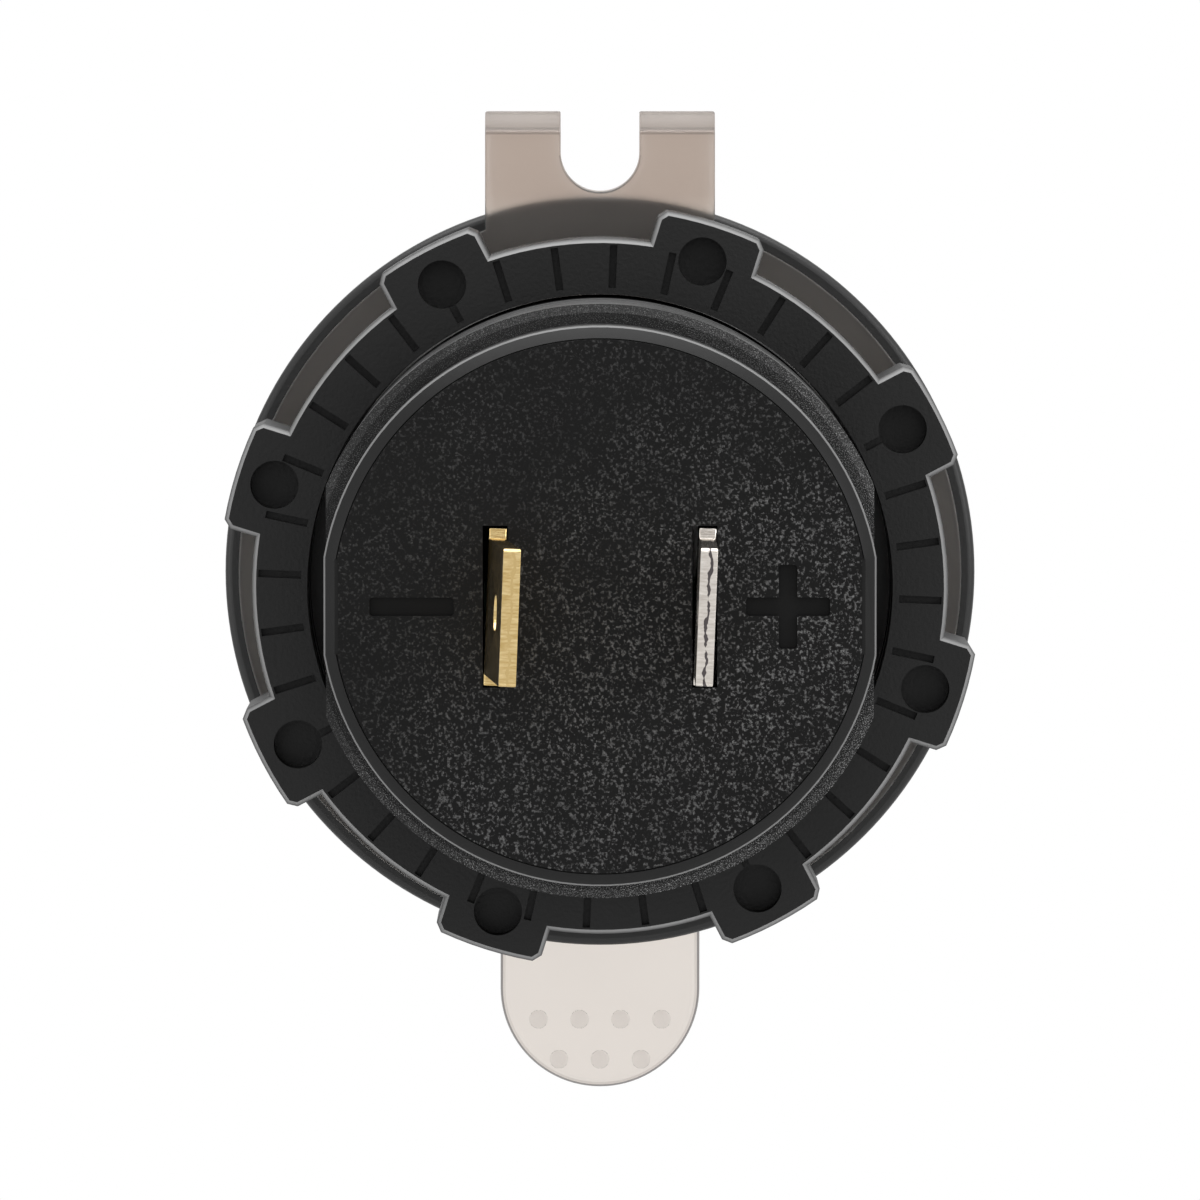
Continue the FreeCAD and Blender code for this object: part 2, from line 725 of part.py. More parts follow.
def make_tongue(label, level):
    """Plastic tongue of one port, with the block that it stands on at the back of the shell."""
    body = new_body(label)
    roof = board_top + size.shell_height - size.shell_sheet
    inside = shell_back - size.shell_sheet
    half_block = size.shell_width / 2 - size.shell_sheet
    block = across_axis(body, f"{label}_block", inside - size.tongue_base)
    add_rectangle(block, (-half_block, board_top + size.shell_sheet), (half_block, roof))
    pad(body, f"{label}_block_pad", block, size.tongue_base, backwards=True)
    blade = across_axis(body, f"{label}_blade", shell_front + size.tongue_setback)
    upper = roof - size.tongue_roof_gap
    half_tongue = size.tongue_width / 2
    add_rectangle(blade, (-half_tongue, upper - size.tongue_thick), (half_tongue, upper))
    reach = inside - size.tongue_base - shell_front - size.tongue_setback
    pad(body, f"{label}_blade_pad", blade, reach, backwards=True)
    return face_of_board(body, level)


def make_contacts(label, level):
    """Four contact strips under the tongue of one port."""
    body = new_body(label)
    body.AllowCompound = True
    under = board_top + size.shell_height - size.shell_sheet - size.tongue_roof_gap - size.tongue_thick
    front = shell_front + size.tongue_setback + size.contact_setback
    strips = across_axis(body, f"{label}_strips", front)
    half_strip = size.contact_width / 2
    for side in (1, -1):
        for pitch in (size.contact_inner_pitch, size.contact_outer_pitch):
            middle = pitch / 2 * side
            add_rectangle(strips, (middle - half_strip, under - size.contact_thick), (middle + half_strip, under))
    block_front = shell_back - size.shell_sheet - size.tongue_base
    pad(body, f"{label}_pad", strips, block_front - front, backwards=True)
    return face_of_board(body, level)


def make_block(label, level, low, width, depth, height):
    """Plain block on one side of the board, from its low corner in x and y."""
    block = document.addObject("Part::Box", label)
    block.Label = label
    base = board_top if level > 0 else -board_top - height
    for name, value in (("Length", width), ("Width", depth), ("Height", height),
                        ("Placement.Base.x", low[0]), ("Placement.Base.y", low[1]), ("Placement.Base.z", base)):
        block.setExpression(name, value.text)
    document.recompute()
    return block


def make_choke():
    """Moulded choke with bevelled upright edges."""
    body = new_body("choke")
    outline = new_sketch(body, "choke_outline", "XY_Plane", board_top)
    half = size.choke_side / 2
    add_rectangle(outline, (size.choke_offset - half, parts_front),
                  (size.choke_offset + half, parts_front + size.choke_side))
    pad(body, "choke_pad", outline, size.choke_height)
    dress(body, "Chamfer", "choke_bevel", size.choke_bevel, lambda edge: along(edge, "z"))
    return body


def make_capacitor(label, level):
    """Upright can capacitor, on the side of the board that the level gives."""
    body = new_body(label)
    radius = size.capacitor_radius
    top = half_chord(bore_radius, size.capacitor_offset + radius) - size.capacitor_top_gap
    profile = new_sketch(body, f"{label}_profile", "XZ_Plane")
    add_outline(profile, [
        (ZERO, board_top),
        (radius, board_top),
        (radius, top - size.capacitor_bevel),
        (radius - size.capacitor_bevel, top),
        (ZERO, top),
    ])
    revolve(body, f"{label}_turned", profile)
    face_of_board(body, level)
    offset = -size.capacitor_offset * level
    body.setExpression("Placement.Base.x", offset.text)
    body.setExpression("Placement.Base.y", (parts_front + radius).text)
    document.recompute()
    return body


def make_light_guide():
    """Clear rod in the face plate, in front of the indicator light."""
    rod = document.addObject("Part::Cylinder", "light_guide")
    rod.Label = "light_guide"
    rod.Placement = FreeCAD.Placement(FreeCAD.Vector(), FreeCAD.Rotation(FreeCAD.Vector(1, 0, 0), -90))
    for name, value in (("Radius", size.guide_radius), ("Height", light_front - size.light_gap - face_front),
                        ("Placement.Base.x", size.light_offset), ("Placement.Base.y", face_front),
                        ("Placement.Base.z", guide_z)):
        rod.setExpression(name, value.text)
    document.recompute()
    return rod


# The light guide clears the board, and the light stands on the board behind it.
guide_z = board_top + size.guide_radius + size.guide_board_gap
light_front = board_front + size.board_setback
control_front = parts_front + size.diode_depth + size.chip_gap

parts = [
    make_housing(),
    make_face_plate(),
    make_rear_cover(),
    make_ring_nut(),
    make_cap_ring(),
    make_hinge_strap(),
    make_dust_cap(),
    make_terminal("negative_terminal", 1, size.negative_lean_angle),
    make_terminal("positive_terminal", -1, ZERO),
    make_circuit_board(),
    make_choke(),
    make_capacitor("input_capacitor", 1),
    make_capacitor("output_capacitor", -1),
    make_block("converter_chip", -1, (-size.converter_offset - size.converter_width / 2, parts_front),
               size.converter_width, size.converter_depth, size.converter_height),
    make_block("charge_control_chip", -1, (-size.diode_offset - size.control_width / 2, control_front),
               size.control_width, size.control_depth, size.control_height),
    make_block("rectifier_diode", -1, (-size.diode_offset - size.diode_width / 2, parts_front),
               size.diode_width, size.diode_depth, size.diode_height),
    make_block("indicator_light", 1, (size.light_offset - size.light_width / 2, light_front),
               size.light_width, size.light_depth, size.light_height),
    make_light_guide(),
]
for port, level in (("upper", 1), ("lower", -1)):
    parts.append(make_shell(f"{port}_port_shell", level))
    parts.append(make_tongue(f"{port}_port_tongue", level))
    parts.append(make_contacts(f"{port}_port_contacts", level))

document.recompute()
for item in document.Objects:
    if "Invalid" in item.State or "Error" in item.State:
        raise RuntimeError(f"{item.Name} failed: {item.State}")
for part in parts:
    if part.Shape.isNull() or not part.Shape.isValid():
        raise RuntimeError(f"{part.Label} has no valid shape")

os.makedirs("parts", exist_ok=True)
for part in parts:
    part.Shape.exportStep(f"parts/{part.Label}.step")
    box = part.Shape.BoundBox
    print(f"{part.Label}: {len(part.Shape.Solids)} solid(s), {part.Shape.Volume:.2f} mm3, "
          f"x {box.XMin:.2f} {box.XMax:.2f} y {box.YMin:.2f} {box.YMax:.2f} z {box.ZMin:.2f} {box.ZMax:.2f}")
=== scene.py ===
import math

import bmesh
import bpy
from mathutils import Matrix, Vector


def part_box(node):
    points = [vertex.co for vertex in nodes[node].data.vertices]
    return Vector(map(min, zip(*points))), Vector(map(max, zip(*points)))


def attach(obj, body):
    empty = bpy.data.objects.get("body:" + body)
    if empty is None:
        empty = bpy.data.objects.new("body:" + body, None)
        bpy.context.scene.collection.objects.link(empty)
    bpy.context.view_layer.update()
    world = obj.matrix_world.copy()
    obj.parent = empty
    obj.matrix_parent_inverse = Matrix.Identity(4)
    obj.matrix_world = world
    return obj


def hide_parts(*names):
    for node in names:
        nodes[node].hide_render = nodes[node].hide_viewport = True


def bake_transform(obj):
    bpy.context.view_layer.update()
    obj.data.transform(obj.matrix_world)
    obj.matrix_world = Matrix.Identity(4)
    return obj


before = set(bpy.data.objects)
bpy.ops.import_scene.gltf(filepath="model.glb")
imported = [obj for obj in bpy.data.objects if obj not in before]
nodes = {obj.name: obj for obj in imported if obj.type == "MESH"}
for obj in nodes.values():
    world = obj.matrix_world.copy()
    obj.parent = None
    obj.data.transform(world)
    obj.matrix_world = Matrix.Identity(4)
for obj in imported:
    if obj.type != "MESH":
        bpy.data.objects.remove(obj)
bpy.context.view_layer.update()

# The barrel's axis is Y, with the terminals at +Y, the cap at -Y and its hinge at +Z.
# Lengths are millimetres until a mesh is made, and angles are degrees.
# Slants and facings are parts of a face's unit normal.
MM = 0.001
AXIS = (0, 1, 0)


def limits(node):
    """A node's lowest and highest corners in millimetres."""
    low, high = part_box(node)
    return Vector(low) / MM, Vector(high) / MM


housing_low, housing_high = limits("housing")
ring_low, ring_high = limits("cap_ring")
fold_low, fold_high = limits("hinge_strap")
cap_low, cap_high = limits("dust_cap")
nut_high = limits("ring_nut")[1]
board_back = limits("circuit_board")[1].y
cover_back = limits("rear_cover")[1].y
face_back = limits("face_plate")[1].y
brass_low, brass_high = limits("negative_terminal")
tin_low, tin_high = limits("positive_terminal")

# Limits for telling corners, edges and faces apart
SHARP_ANGLE = 35
CREASE_ANGLE = 38
FLAT_ANGLE = 0.2
SQUARE = 0.99999
NEAR = 0.02
ON_FACE = 0.01
ON_PLANE = 0.002
SPIN_WELD = 1e-5
NODE_WELD = 1e-4

# Housing
BARREL_RADIUS = 13.9
BARREL_BEVEL_WIDTH = 0.4
BARREL_BEVEL_HEIGHT = 0.2
BARREL_END_SLANT = 0.85
BORE_RADIUS = 11.5
RECESS_RADIUS = 12.3
RECESS_EDGE_ROUND = 0.12
FLAT_OFFSET = 12.8
FLANGE_FRONT_ROUND = 0.7
FLANGE_BACK_ROUND = 0.35
RAIL_INNER = 9.9
RAIL_LOW = 0.9
RAIL_HIGH = 1.9
RAIL_FRONT = 13.3

# Thread
THREAD_PITCH = 2.7
THREAD_START = 3.0
THREAD_TURNS = 8
THREAD_DEPTH = 0.55
THREAD_HALF_OPENING = 0.8
THREAD_HALF_ROOT = 0.12
NUT_BORE = 14.05
NUT_THREAD_TURNS = 2.6

# Ring nut
NUT_RIM_MARGIN = 0.5
NUT_EDGE_DEPTH = 0.4
NUT_EDGE_SLANT = (0.4, 0.95)
# Depths below the nut's back face over which its painted edge highlight brightens
NUT_HIGHLIGHT_LOW = 0.22
NUT_HIGHLIGHT_HIGH = 0.08

# Rear cover
COVER_RADIUS = 13.0
COVER_BEVEL = 0.6
COVER_BEVEL_HEIGHT = 0.45
RIM_ROUND = 0.1
RIM_BAND = 0.3
RIM_SLANT = (0.05, 0.75)
LINE_WIDTH = 0.16
LINE_DEPTH = 0.07
SIGN_DEPTH = 0.35
MINUS_CENTRE = 8.72
PLUS_CENTRE = -8.70
SIGN_LENGTH = 3.9
SIGN_WIDTH = 0.86
SIGN_CORNER = 0.15

# Terminals
BLADE_HALF = 0.4
BLADE_EDGE_ROUND = 0.05
BLADE_TILT = 2.2

# Dust cap
RING_INNER = 14.4
RING_GAP = 0.03
SOFT_EDGE = 0.15
STRAP_ROOT = 16.4
FOLD_INNER_ROUND = 0.15
FOLD_CUTS = 15
FOLD_BAND = 1.2
FOLD_SLANT = (0.02, 0.25)
SIDE_FACING = 0.4
# Heights about the ring's top over which the strap's painted shade sets in
STRAP_SHADE_LOW = 0.5
STRAP_SHADE_HIGH = 0.8
SLOT_HALF = 1.95
SLOT_FLOOR = 18.75
CAP_BACK = -4.1
CAP_EDGE_ROUND = 0.4
CAP_EDGE_BAND = 1
FACING = 0.9
EDGE_FACING = 0.7
PLUG_OUTER = 12.0
PLUG_INNER = 10.8
PLUG_EDGE_ROUND = 0.25
PLUG_OVERLAP = 0.05
TAB_HALF = 4.95
DOT_RADIUS = 0.47
DOT_HEIGHT = 0.12
DOT_SINK = 0.02
DOT_PITCH = 2.04
DOT_ROWS = ((-22.45, (-1.5, -0.5, 0.5, 1.5)), (-24.45, (-1, 0, 1)))

# Studio
LENS = 309
CAMERA_LIFT = 3.05
CAMERA_DISTANCE = 510
CAMERA_AIM = (0, -2.5, -1.47)
FLOOR_HALF = 100
FLOOR_LEVEL = -60
LIGHT_STRENGTH = 0.45
SEEN_STRENGTH = 1.0


# Shapes

def mm(x, y, z):
    """A point or step in millimetres, as Blender's metres."""
    return Vector((x, y, z)) * MM


def turned(profile, steps=192):
    """A closed profile of (radius, y) corners spun about the barrel's axis."""
    bm = bmesh.new()
    corners = [bm.verts.new(mm(radius, y, 0)) for radius, y in profile]
    edges = [bm.edges.new(pair) for pair in zip(corners, corners[1:] + corners[:1])]
    bmesh.ops.spin(bm, geom=corners + edges, cent=(0, 0, 0), axis=AXIS, angle=math.tau, steps=steps,
                   use_merge=True)
    bmesh.ops.remove_doubles(bm, verts=bm.verts, dist=SPIN_WELD * MM)
    bmesh.ops.recalc_face_normals(bm, faces=bm.faces)
    return bm


def block(low, high):
    """A box between two corners."""
    bm = bmesh.new()
    low, high = mm(*low), mm(*high)
    span = [abs(length) for length in high - low]
    place = Matrix.Translation((low + high) / 2) @ Matrix.Diagonal((*span, 1))
    bmesh.ops.create_cube(bm, size=1, matrix=place)
    return bm


def disc(radius, front, back, segments):
    """A round plate across the barrel's axis."""
    bm = bmesh.new()
    place = Matrix.Translation(mm(0, (front + back) / 2, 0)) @ Matrix.Rotation(math.pi / 2, 4, "X")
    bmesh.ops.create_cone(bm, cap_ends=True, segments=segments, radius1=radius * MM, radius2=radius * MM,
                          depth=(back - front) * MM, matrix=place)
    return bm


def helix(section, start, turns, steps=64):
    """A closed (radius, y) section wound round the barrel's axis with the thread's pitch."""
    bm = bmesh.new()
    corners = [bm.verts.new(mm(radius, y + start, 0)) for radius, y in section]
    face = bm.faces.new(corners)
    count = round(steps * turns)
    bmesh.ops.spin(bm, geom=[face, *face.edges, *corners], cent=(0, 0, 0), axis=AXIS, steps=count,
                   angle=math.tau * count / steps, dvec=mm(0, THREAD_PITCH / steps, 0))
    bmesh.ops.recalc_face_normals(bm, faces=bm.faces)
    return bm


def thread_section(surface, root):
    """Cross-section of the groove between two crests, from just outside a surface to the groove's root."""
    outside = surface + (surface - root) / 4
    return [(outside, -THREAD_HALF_OPENING), (outside, THREAD_HALF_OPENING),
            (root, THREAD_HALF_ROOT), (root, -THREAD_HALF_ROOT)]


def push(bm, face, step):
    """A face drawn out by a step, with walls behind it. Gives the moved face."""
    made = bmesh.ops.extrude_face_region(bm, geom=[face])["geom"]
    bmesh.ops.translate(bm, verts=[item for item in made if isinstance(item, bmesh.types.BMVert)], vec=step)
    bmesh.ops.delete(bm, geom=[face], context="FACES_ONLY")
    return next(item for item in made if isinstance(item, bmesh.types.BMFace))


def swing(bm, face, centre, steps=10):
    """A face swung a quarter turn forwards about a line along X. Gives the moved face."""
    made = bmesh.ops.spin(bm, geom=[face, *face.edges, *face.verts], cent=centre, axis=(1, 0, 0),
                          angle=math.pi / 2, steps=steps)
    return next(item for item in made["geom_last"] if isinstance(item, bmesh.types.BMFace))


def node_copy(name):
    """A merged copy of a node's mesh, with the triangles of its flat faces joined again."""
    bm = bmesh.new()
    bm.from_mesh(nodes[name].data)
    bmesh.ops.remove_doubles(bm, verts=bm.verts, dist=NODE_WELD * MM)
    join_flat_faces(bm)
    return bm


def join_flat_faces(bm):
    """Faces that lie in one plane made into one."""
    bmesh.ops.dissolve_limit(bm, angle_limit=math.radians(FLAT_ANGLE), verts=bm.verts, edges=bm.edges)


def soften(bm, width, segments=3, test=None):
    """Rounds the sharp edges, or those of them that pass a test."""
    limit = math.radians(SHARP_ANGLE)
    sharp = [edge for edge in bm.edges if edge.is_manifold and edge.calc_face_angle() > limit]
    round_edges(bm, [edge for edge in sharp if test is None or test(edge)], width, segments)


def round_edges(bm, edges, width, segments):
    """Given edges made round."""
    bmesh.ops.bevel(bm, geom=edges, offset=width * MM, offset_type="OFFSET", segments=segments, profile=0.5,
                    affect="EDGES", clamp_overlap=True, material=-1)


def round_lower_corners(bm, half):
    """A block's lower end made into a half circle."""
    lowest = min(vert.co.z for vert in bm.verts) + NEAR * MM
    corners = [edge for edge in bm.edges if all(vert.co.z < lowest for vert in edge.verts) and along_y(edge)]
    round_edges(bm, corners, half - NEAR, 24)


def along_y(edge):
    """Whether an edge runs more along the barrel than across it."""
    return abs((edge.verts[0].co - edge.verts[1].co).normalized().y) > 0.5


def on_circle(edge, radius, y):
    """Whether an edge lies on a circle about the barrel's axis."""
    corners = [vert.co / MM for vert in edge.verts]
    return all(abs(corner.xz.length - radius) < NEAR and abs(corner.y - y) < NEAR for corner in corners)


def beyond(edge, radius, y):
    """Whether an edge lies outside a radius and behind a plane."""
    return all(vert.co.xz.length > radius * MM and vert.co.y > y * MM for vert in edge.verts)


def shade(bm):
    """Curves are smooth, corners crisp, and faces square to an axis flat."""
    for face in bm.faces:
        face.smooth = max(abs(value) for value in face.normal) < SQUARE
    for edge in bm.edges:
        edge.smooth = edge.is_manifold and edge.calc_face_angle() < math.radians(CREASE_ANGLE)


def cut_across(bm, point, normal, **options):
    """All of a form split where a plane meets it. Gives the new edges."""
    cut = bmesh.ops.bisect_plane(bm, geom=[*bm.verts, *bm.edges, *bm.faces], plane_co=point, plane_no=normal,
                                 **options)
    return [item for item in cut["geom_cut"] if isinstance(item, bmesh.types.BMEdge)]


def make_object(name, bm):
    mesh = bpy.data.meshes.new(name)
    bm.to_mesh(mesh)
    bm.free()
    made = bpy.data.objects.new(name, mesh)
    bpy.context.scene.collection.objects.link(made)
    return made


def combine(target, tools, operation):
    """The target with each tool cut from it or joined to it. Takes and gives a bmesh."""
    base = make_object("base", target)
    for tool in tools:
        boolean = base.modifiers.new("boolean", "BOOLEAN")
        boolean.operation = operation
        boolean.solver = "MANIFOLD"
        boolean.object = make_object("tool", tool)
    bpy.context.view_layer.update()
    solid = base.evaluated_get(bpy.context.evaluated_depsgraph_get()).to_mesh()
    result = bmesh.new()
    result.from_mesh(solid)
    for boolean in list(base.modifiers):
        bpy.data.objects.remove(boolean.object)
    bpy.data.objects.remove(base)
    return result


def paint(bm, choose):
    """Gives each face the material number that a rule finds from its middle and its normal."""
    for face in bm.faces:
        face.material_index = choose(face.calc_center_median() / MM, face.normal)


def finish_piece(name, bm, materials, replaced, body="socket"):
    """A piece with its finishes, the nodes it replaces and the body it rides on, if any."""
    shade(bm)
    piece = make_object(name, bm)
    for material in materials:
        piece.data.materials.append(material)
    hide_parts(*replaced)
    if body:
        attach(piece, body)
    return piece


# Finishes

def new_group(name, inputs, outputs):
    """A shader node group. Gives it with its input node and its output node."""
    group = bpy.data.node_groups.new(name, "ShaderNodeTree")
    for label, kind, value in inputs:
        group.interface.new_socket(label, in_out="INPUT", socket_type=kind).default_value = value
    for label, kind in outputs:
        group.interface.new_socket(label, in_out="OUTPUT", socket_type=kind)
    return group, group.nodes.new("NodeGroupInput"), group.nodes.new("NodeGroupOutput")


def millimetres(tree):
    """The piece's own coordinates in millimetres."""
    place = tree.nodes.new("ShaderNodeTexCoord")
    return vector_math(tree, "SCALE", place.outputs["Object"], 1 / MM)


def vector_math(tree, operation, vector, other):
    """A vector scaled by a number, or multiplied or divided by a vector or a socket."""
    node = tree.nodes.new("ShaderNodeVectorMath")
    node.operation = operation
    tree.links.new(vector, node.inputs[0])
    socket = node.inputs["Scale"] if operation == "SCALE" else node.inputs[1]
    if isinstance(other, bpy.types.NodeSocket):
        tree.links.new(other, socket)
    else:
        socket.default_value = other
    return node.outputs["Vector"]


def number_math(tree, operation, first, second=0.0):
    """Arithmetic on two numbers, each a socket or a plain number."""
    node = tree.nodes.new("ShaderNodeMath")
    node.operation = operation
    for socket, value in zip(node.inputs, (first, second)):
        if isinstance(value, bpy.types.NodeSocket):
            tree.links.new(value, socket)
        else:
            socket.default_value = value
    return node.outputs["Value"]


def spread(tree, value, low, high, to_low=0.0, to_high=1.0):
    """A value taken from one range to another and held at its ends."""
    node = tree.nodes.new("ShaderNodeMapRange")
    node.inputs["From Min"].default_value = low
    node.inputs["From Max"].default_value = high
    for label, end in (("To Min", to_low), ("To Max", to_high)):
        if isinstance(end, bpy.types.NodeSocket):
            tree.links.new(end, node.inputs[label])
        else:
            node.inputs[label].default_value = end
    tree.links.new(value, node.inputs["Value"])
    return node.outputs["Result"]


def noise(tree, vector, detail):
    node = tree.nodes.new("ShaderNodeTexNoise")
    node.inputs["Scale"].default_value = 1.0
    node.inputs["Detail"].default_value = detail
    tree.links.new(vector, node.inputs["Vector"])
    return node.outputs["Fac"]


def mixed(tree, amount, first, second):
    """From one colour to another by an amount. Each colour is a socket or a plain colour."""
    node = tree.nodes.new("ShaderNodeMix")
    node.data_type = "RGBA"
    tree.links.new(amount, node.inputs["Factor"])
    for label, colour in (("A", first), ("B", second)):
        if isinstance(colour, bpy.types.NodeSocket):
            tree.links.new(colour, node.inputs[label])
        else:
            node.inputs[label].default_value = colour
    return next(out for out in node.outputs if out.type == "RGBA")


def axis_part(tree, vector, axis):
    node = tree.nodes.new("ShaderNodeSeparateXYZ")
    tree.links.new(vector, node.inputs["Vector"])
    return node.outputs[axis]


def make_tone_group():
    """Slow drift between two tones, as in moulded and handled surfaces, with a roughness to go with it."""
    group, ins, outs = new_group(
        "tone drift",
        [("Dark", "NodeSocketColor", (0, 0, 0, 1)), ("Light", "NodeSocketColor", (1, 1, 1, 1)),
         ("Patch", "NodeSocketFloat", 4.0), ("Smoothest", "NodeSocketFloat", 0.4),
         ("Roughest", "NodeSocketFloat", 0.5)],
        [("Color", "NodeSocketColor"), ("Roughness", "NodeSocketFloat")])
    drift = noise(group, vector_math(group, "DIVIDE", millimetres(group), ins.outputs["Patch"]), 4.0)
    group.links.new(mixed(group, drift, ins.outputs["Dark"], ins.outputs["Light"]), outs.inputs["Color"])
    roughness = spread(group, drift, 0, 1, ins.outputs["Smoothest"], ins.outputs["Roughest"])
    group.links.new(roughness, outs.inputs["Roughness"])
    return group


def make_grain_group():
    """Fine uneven grain of a moulded or rolled surface."""
    group, ins, outs = new_group("fine grain", [("Pebble", "NodeSocketFloat", 0.25)],
                                 [("Height", "NodeSocketFloat")])
    height = noise(group, vector_math(group, "DIVIDE", millimetres(group), ins.outputs["Pebble"]), 2.0)
    group.links.new(height, outs.inputs["Height"])
    return group


def make_speck_glint_group():
    """Small uneven crests, as a spark-eroded mould leaves them, with the glints they catch painted in as
    light specks, plainer towards the +X, +Z side by a painted falloff of light.
    """
    group, ins, outs = new_group("mould specks with painted glints", [("Spacing", "NodeSocketFloat", 0.2)],
                                 [("Specks", "NodeSocketFloat")])
    place = millimetres(group)
    crests = noise(group, vector_math(group, "DIVIDE", place, ins.outputs["Spacing"]), 2.0)
    patches = noise(group, vector_math(group, "SCALE", place, 0.22), 2.0)
    sparse = spread(group, patches, 0.38, 0.6, 0.55, 1.0)
    side = number_math(group, "ADD", axis_part(group, place, "X"), axis_part(group, place, "Z"))
    # Painted falloff of light: fewer glints towards +X and +Z.
    glint_falloff = spread(group, side, COVER_RADIUS * 0.7, -COVER_RADIUS * 0.5, 0.25, 1.0)
    specks = number_math(group, "MULTIPLY", spread(group, crests, 0.53, 0.8), sparse)
    group.links.new(number_math(group, "MULTIPLY", specks, glint_falloff), outs.inputs["Specks"])
    return group


def make_shear_group():
    """Marks on a stamped strip: fine lines across it, and a ragged crack along the middle of its cut end."""
    group, ins, outs = new_group("shear marks", [("Place", "NodeSocketVector", (0, 0, 0))],
                                 [("Lines", "NodeSocketFloat"), ("Crack", "NodeSocketFloat")])
    place = ins.outputs["Place"]
    lines = noise(group, vector_math(group, "MULTIPLY", place, (1.2, 1.2, 8.0)), 3.0)
    along = vector_math(group, "MULTIPLY", place, (0, 0, 0.6))
    wander = spread(group, noise(group, along, 4.0), 0.3, 0.7, -0.2, 0.14)
    offset = number_math(group, "SUBTRACT", axis_part(group, place, "X"), wander)
    distance = number_math(group, "ABSOLUTE", offset)
    ragged = noise(group, vector_math(group, "MULTIPLY", place, (0, 0, 1.7)), 2.0)
    width = spread(group, ragged, 0.35, 0.65, 0.0, 0.12)
    crack = number_math(group, "GREATER_THAN", width, distance)
    at_end = spread(group, axis_part(group, place, "Y"), -0.3, -0.1)
    crack = number_math(group, "MULTIPLY", crack, at_end)
    group.links.new(spread(group, lines, 0.3, 0.7), outs.inputs["Lines"])
    group.links.new(crack, outs.inputs["Crack"])
    return group


TONE = make_tone_group()
GRAIN = make_grain_group()
SPECK_GLINTS = make_speck_glint_group()
SHEAR = make_shear_group()


def grey(level):
    return (level, level, level, 1)


def place_group(tree, group, **values):
    """A group put into a material, with its inputs set."""
    node = tree.nodes.new("ShaderNodeGroup")
    node.node_tree = group
    for label, value in values.items():
        node.inputs[label].default_value = value
    return node


def new_finish(name, dark, light, patch, rough, **constants):
    """A material of drifting tone and roughness. Gives it, its tree, its shader and the tone's colour."""
    material = bpy.data.materials.new(name)
    material.use_nodes = True
    tree = material.node_tree
    shader = tree.nodes["Principled BSDF"]
    for label, value in constants.items():
        shader.inputs[label.replace("_", " ")].default_value = value
    tone = place_group(tree, TONE, Dark=dark, Light=light, Patch=patch, Smoothest=rough[0], Roughest=rough[1])
    tree.links.new(tone.outputs["Color"], shader.inputs["Base Color"])
    tree.links.new(tone.outputs["Roughness"], shader.inputs["Roughness"])
    return material, tree, shader, tone.outputs["Color"]


def add_bump(tree, shader, height, depth):
    """Relief of a depth in millimetres, from a height between 0 and 1."""
    bump = tree.nodes.new("ShaderNodeBump")
    bump.inputs["Distance"].default_value = depth * MM
    tree.links.new(height, bump.inputs["Height"])
    tree.links.new(bump.outputs["Normal"], shader.inputs["Normal"])


def add_grain(tree, shader, pebble, depth):
    add_bump(tree, shader, place_group(tree, GRAIN, Pebble=pebble).outputs["Height"], depth)


def moulding(name, dark, light, rough, pebble, depth, specular):
    """Black plastic with a fine grain."""
    material, tree, shader, tone = new_finish(name, grey(dark), grey(light), 3.0, rough,
                                              Specular_IOR_Level=specular)
    add_grain(tree, shader, pebble, depth)
    return material


def speck_glint_moulding(name, dark, light, spacing):
    """Black plastic with a mould grain whose crests carry painted glints, light specks in the base colour."""
    material, tree, shader, tone = new_finish(name, grey(dark), grey(dark * 1.6), 3.0, (0.3, 0.45),
                                              Specular_IOR_Level=0.12)
    specks = place_group(tree, SPECK_GLINTS, Spacing=spacing).outputs["Specks"]
    tree.links.new(mixed(tree, specks, tone, grey(light)), shader.inputs["Base Color"])
    add_bump(tree, shader, specks, 0.05)
    return material


def elastomer(name, dark, light, strap, rough):
    """Soft clear moulding, with painted shade deepening the tone of the strap where it doubles over in its
    fold.
    """
    material, tree, shader, tone = new_finish(name, dark, light, 6.0, rough, Transmission_Weight=0.97,
                                              IOR=1.4)
    height = axis_part(tree, millimetres(tree), "Z")
    # Painted shade: the strap, and the ring's top near it, take the darker strap colour.
    strap_shade = spread(tree, height, ring_high.x - STRAP_SHADE_LOW, ring_high.x + STRAP_SHADE_HIGH)
    tree.links.new(mixed(tree, strap_shade, tone, strap), shader.inputs["Base Color"])
    return material


def highlit_edge(name, dark, light, low, high):
    """Moulding with a painted highlight, pale along the upper part of its edge, between two heights."""
    material, tree, shader, tone = new_finish(name, grey(light * 0.7), grey(light), 1.2, (0.45, 0.6))
    lit_amount = spread(tree, axis_part(tree, millimetres(tree), "Y"), low, high)
    tree.links.new(mixed(tree, lit_amount, grey(dark), tone), shader.inputs["Base Color"])
    add_grain(tree, shader, 0.3, 0.01)
    return material


def blade(name, dark, light, crack, rough, centre):
    """Stamped metal strip. The centre is the middle of its cut end."""
    material, tree, shader, tone = new_finish(name, dark, light, 0.8, rough, Metallic=1.0)
    upright = tree.nodes.new("ShaderNodeMapping")
    upright.vector_type = "TEXTURE"
    upright.inputs["Location"].default_value = centre
    upright.inputs["Rotation"].default_value = (0, math.radians(-BLADE_TILT), 0)
    tree.links.new(millimetres(tree), upright.inputs["Vector"])
    marks = place_group(tree, SHEAR)
    tree.links.new(upright.outputs["Vector"], marks.inputs["Place"])
    struck = mixed(tree, marks.outputs["Lines"], dark, light)
    tree.links.new(mixed(tree, marks.outputs["Crack"], struck, crack), shader.inputs["Base Color"])
    add_bump(tree, shader, marks.outputs["Lines"], 0.015)
    return material


